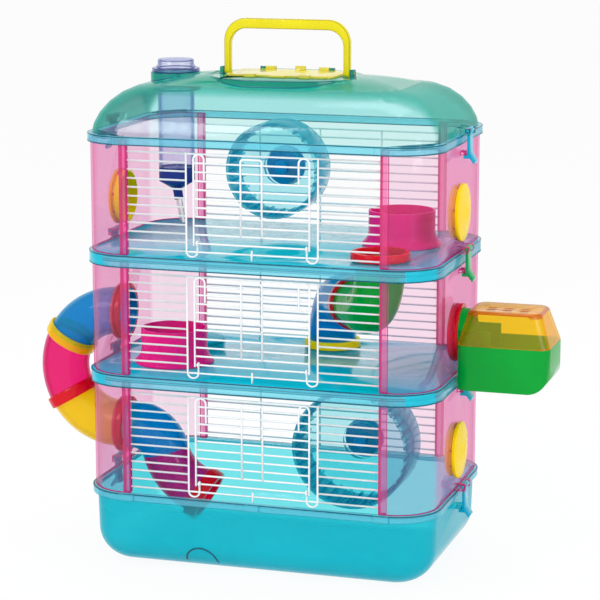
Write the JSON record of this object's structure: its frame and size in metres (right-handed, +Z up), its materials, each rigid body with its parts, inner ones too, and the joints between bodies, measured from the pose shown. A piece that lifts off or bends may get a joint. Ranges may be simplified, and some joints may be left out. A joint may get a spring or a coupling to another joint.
{
  "type": "hamster cage",
  "caption": "Tall hamster cage with stacked storeys, wire grilles and doors, tubes, a nest pod, wheels, bowls and a water bottle.",
  "frame": {"origin": "middle of the tray's flat underside", "axes": "+Z up, front grilles face -Y, nest pod on the +X side, outer tube on the -X side"},
  "size_m": [0.6004, 0.2646, 0.5975],
  "materials": {
    "clear_turquoise": "glossy, see-through turquoise moulding",
    "clear_pink": "glossy, see-through pink moulding",
    "white_wire": "white powder-coated steel wire",
    "yellow_plastic": "glossy yellow moulding",
    "clear_yellow": "see-through yellow moulding",
    "clear_blue": "see-through blue moulding",
    "clear_magenta": "see-through magenta moulding",
    "clear_red": "see-through red moulding",
    "clear_green": "see-through green moulding",
    "clear_orange": "see-through orange moulding",
    "magenta_plastic": "glossy magenta moulding",
    "navy_plastic": "glossy navy moulding",
    "blue_plastic": "glossy blue moulding",
    "green_plastic": "glossy green moulding",
    "teal_plastic": "glossy teal moulding",
    "clear_bottle": "see-through pale blue bottle",
    "bright_steel": "polished stainless tube"
  },
  "bodies": {
    "cage": {"base_tray": "clear_turquoise", "lower_floor": "clear_turquoise", "upper_floor": "clear_turquoise", "roof": "clear_turquoise", "bottle_collar": "clear_bottle", "upper_wheel_axle": "blue_plastic", "lower_wheel_axle": "blue_plastic", "port_rings": "clear_magenta", "outer_tube_upper_elbow": "clear_blue", "outer_tube_upper_coupling": "clear_yellow", "outer_tube_middle": "clear_magenta", "outer_tube_lower_coupling": "clear_red", "outer_tube_lower_elbow": "clear_yellow", "inner_tube_upper_elbow": "clear_blue", "inner_tube_lower_elbow": "clear_magenta", "inner_tube_end_ring": "clear_red", "climbing_tube_floor_ring": "yellow_plastic", "climbing_tube_lower_elbow": "clear_blue", "climbing_tube_coupling": "clear_red", "climbing_tube_upper_elbow": "clear_green", "climbing_tube_top_ring": "clear_red", "lower_left_panel": "clear_pink", "lower_right_panel": "clear_pink", "front_lower_grille": "white_wire", "back_lower_grille": "white_wire", "middle_left_panel": "clear_pink", "middle_right_panel": "clear_pink", "front_middle_grille": "white_wire", "back_middle_grille": "white_wire", "upper_left_panel": "clear_pink", "upper_right_panel": "clear_pink", "front_upper_grille": "white_wire", "back_upper_grille": "white_wire"},
    "lower_door": {"lower_door": "white_wire"},
    "middle_door": {"middle_door": "white_wire"},
    "upper_door": {"upper_door": "white_wire"},
    "hatch": {"roof_hatch": "clear_yellow"},
    "handle": {"carry_handle": "yellow_plastic"},
    "bottle": {"bottle_body": "clear_bottle", "bottle_cap": "navy_plastic", "drinking_spout": "bright_steel"},
    "upper_wheel": {"upper_wheel": "clear_turquoise"},
    "lower_wheel": {"lower_wheel": "clear_turquoise"},
    "pod": {"nest_pod_base": "clear_green"},
    "pod_lid": {"nest_pod_lid": "clear_orange"},
    "upper_bowl": {"upper_food_bowl": "magenta_plastic"},
    "middle_bowl": {"middle_food_bowl": "magenta_plastic"},
    "upper_left_plug": {"upper_left_plug": "yellow_plastic"},
    "upper_right_plug": {"upper_right_plug": "yellow_plastic"},
    "lower_right_plug": {"lower_right_plug": "yellow_plastic"},
    "floor_plug": {"floor_plug": "teal_plastic"},
    "tray_left_clip": {"tray_left_clip": "teal_plastic"},
    "tray_right_clip": {"tray_right_clip": "blue_plastic"},
    "lower_floor_left_clip": {"lower_floor_left_clip": "teal_plastic"},
    "lower_floor_right_clip": {"lower_floor_right_clip": "teal_plastic"},
    "upper_floor_left_clip": {"upper_floor_left_clip": "teal_plastic"},
    "upper_floor_right_clip": {"upper_floor_right_clip": "green_plastic"},
    "roof_left_clip": {"roof_left_clip": "teal_plastic"},
    "roof_right_clip": {"roof_right_clip": "blue_plastic"}
  },
  "joints": [
    {"name": "lower_door_hinge", "type": "hinge", "parent": "cage", "child": "lower_door", "pos_m": [0, -0.1259, 0.1009], "axis": [1, 0, 0], "range_deg": [0, 120]},
    {"name": "middle_door_hinge", "type": "hinge", "parent": "cage", "child": "middle_door", "pos_m": [0, -0.1259, 0.2337], "axis": [1, 0, 0], "range_deg": [0, 120]},
    {"name": "upper_door_hinge", "type": "hinge", "parent": "cage", "child": "upper_door", "pos_m": [0, -0.1259, 0.3665], "axis": [1, 0, 0], "range_deg": [0, 120]},
    {"name": "hatch_hinge", "type": "hinge", "parent": "cage", "child": "hatch", "pos_m": [0, 0.0379, 0.5394], "axis": [-1, 0, 0], "range_deg": [0, 40]},
    {"name": "handle_fold", "type": "hinge", "parent": "cage", "child": "handle", "pos_m": [0, 0, 0.5397], "axis": [1, 0, 0], "range_deg": [0, 75]},
    {"name": "bottle_lift", "type": "slide", "parent": "cage", "child": "bottle", "axis": [0, 0, 1], "range_m": [0, 0.18]},
    {"name": "upper_wheel_spin", "type": "hinge", "parent": "cage", "child": "upper_wheel", "pos_m": [-0.038, 0.1, 0.42], "axis": [0, 1, 0], "continuous": true},
    {"name": "lower_wheel_spin", "type": "hinge", "parent": "cage", "child": "lower_wheel", "pos_m": [0.058, 0.1, 0.1025], "axis": [0, 1, 0], "continuous": true},
    {"name": "upper_left_plug_pull", "type": "slide", "parent": "cage", "child": "upper_left_plug", "axis": [-1, 0, 0], "range_m": [0, 0.03]},
    {"name": "upper_right_plug_pull", "type": "slide", "parent": "cage", "child": "upper_right_plug", "axis": [1, 0, 0], "range_m": [0, 0.03]},
    {"name": "lower_right_plug_pull", "type": "slide", "parent": "cage", "child": "lower_right_plug", "axis": [1, 0, 0], "range_m": [0, 0.03]},
    {"name": "floor_plug_pull", "type": "slide", "parent": "cage", "child": "floor_plug", "axis": [0, 0, 1], "range_m": [0, 0.03]},
    {"name": "pod_pull", "type": "slide", "parent": "cage", "child": "pod", "axis": [1, 0, 0], "range_m": [0, 0.03]},
    {"name": "pod_lid_lift", "type": "slide", "parent": "pod", "child": "pod_lid", "axis": [0.5, 0, 0.866], "range_m": [0, 0.06]},
    {"name": "upper_bowl_lift", "type": "slide", "parent": "cage", "child": "upper_bowl", "axis": [0, 0, 1], "range_m": [0, 0.05]},
    {"name": "middle_bowl_lift", "type": "slide", "parent": "cage", "child": "middle_bowl", "axis": [0, 0, 1], "range_m": [0, 0.05]},
    {"name": "tray_left_clip_hinge", "type": "hinge", "parent": "cage", "child": "tray_left_clip", "pos_m": [-0.206, 0, 0.089], "axis": [0, 1, 0], "range_deg": [0, 80]},
    {"name": "tray_right_clip_hinge", "type": "hinge", "parent": "cage", "child": "tray_right_clip", "pos_m": [0.206, 0, 0.089], "axis": [0, -1, 0], "range_deg": [0, 80]},
    {"name": "lower_floor_left_clip_hinge", "type": "hinge", "parent": "cage", "child": "lower_floor_left_clip", "pos_m": [-0.206, 0, 0.2218], "axis": [0, 1, 0], "range_deg": [0, 45]},
    {"name": "lower_floor_right_clip_hinge", "type": "hinge", "parent": "cage", "child": "lower_floor_right_clip", "pos_m": [0.206, 0, 0.2218], "axis": [0, -1, 0], "range_deg": [0, 25]},
    {"name": "upper_floor_left_clip_hinge", "type": "hinge", "parent": "cage", "child": "upper_floor_left_clip", "pos_m": [-0.206, 0, 0.3546], "axis": [0, 1, 0], "range_deg": [0, 80]},
    {"name": "upper_floor_right_clip_hinge", "type": "hinge", "parent": "cage", "child": "upper_floor_right_clip", "pos_m": [0.206, 0, 0.3546], "axis": [0, -1, 0], "range_deg": [0, 80]},
    {"name": "roof_left_clip_hinge", "type": "hinge", "parent": "cage", "child": "roof_left_clip", "pos_m": [-0.206, 0, 0.4834], "axis": [0, 1, 0], "range_deg": [0, 80]},
    {"name": "roof_right_clip_hinge", "type": "hinge", "parent": "cage", "child": "roof_right_clip", "pos_m": [0.206, 0, 0.4834], "axis": [0, -1, 0], "range_deg": [0, 80]}
  ]
}
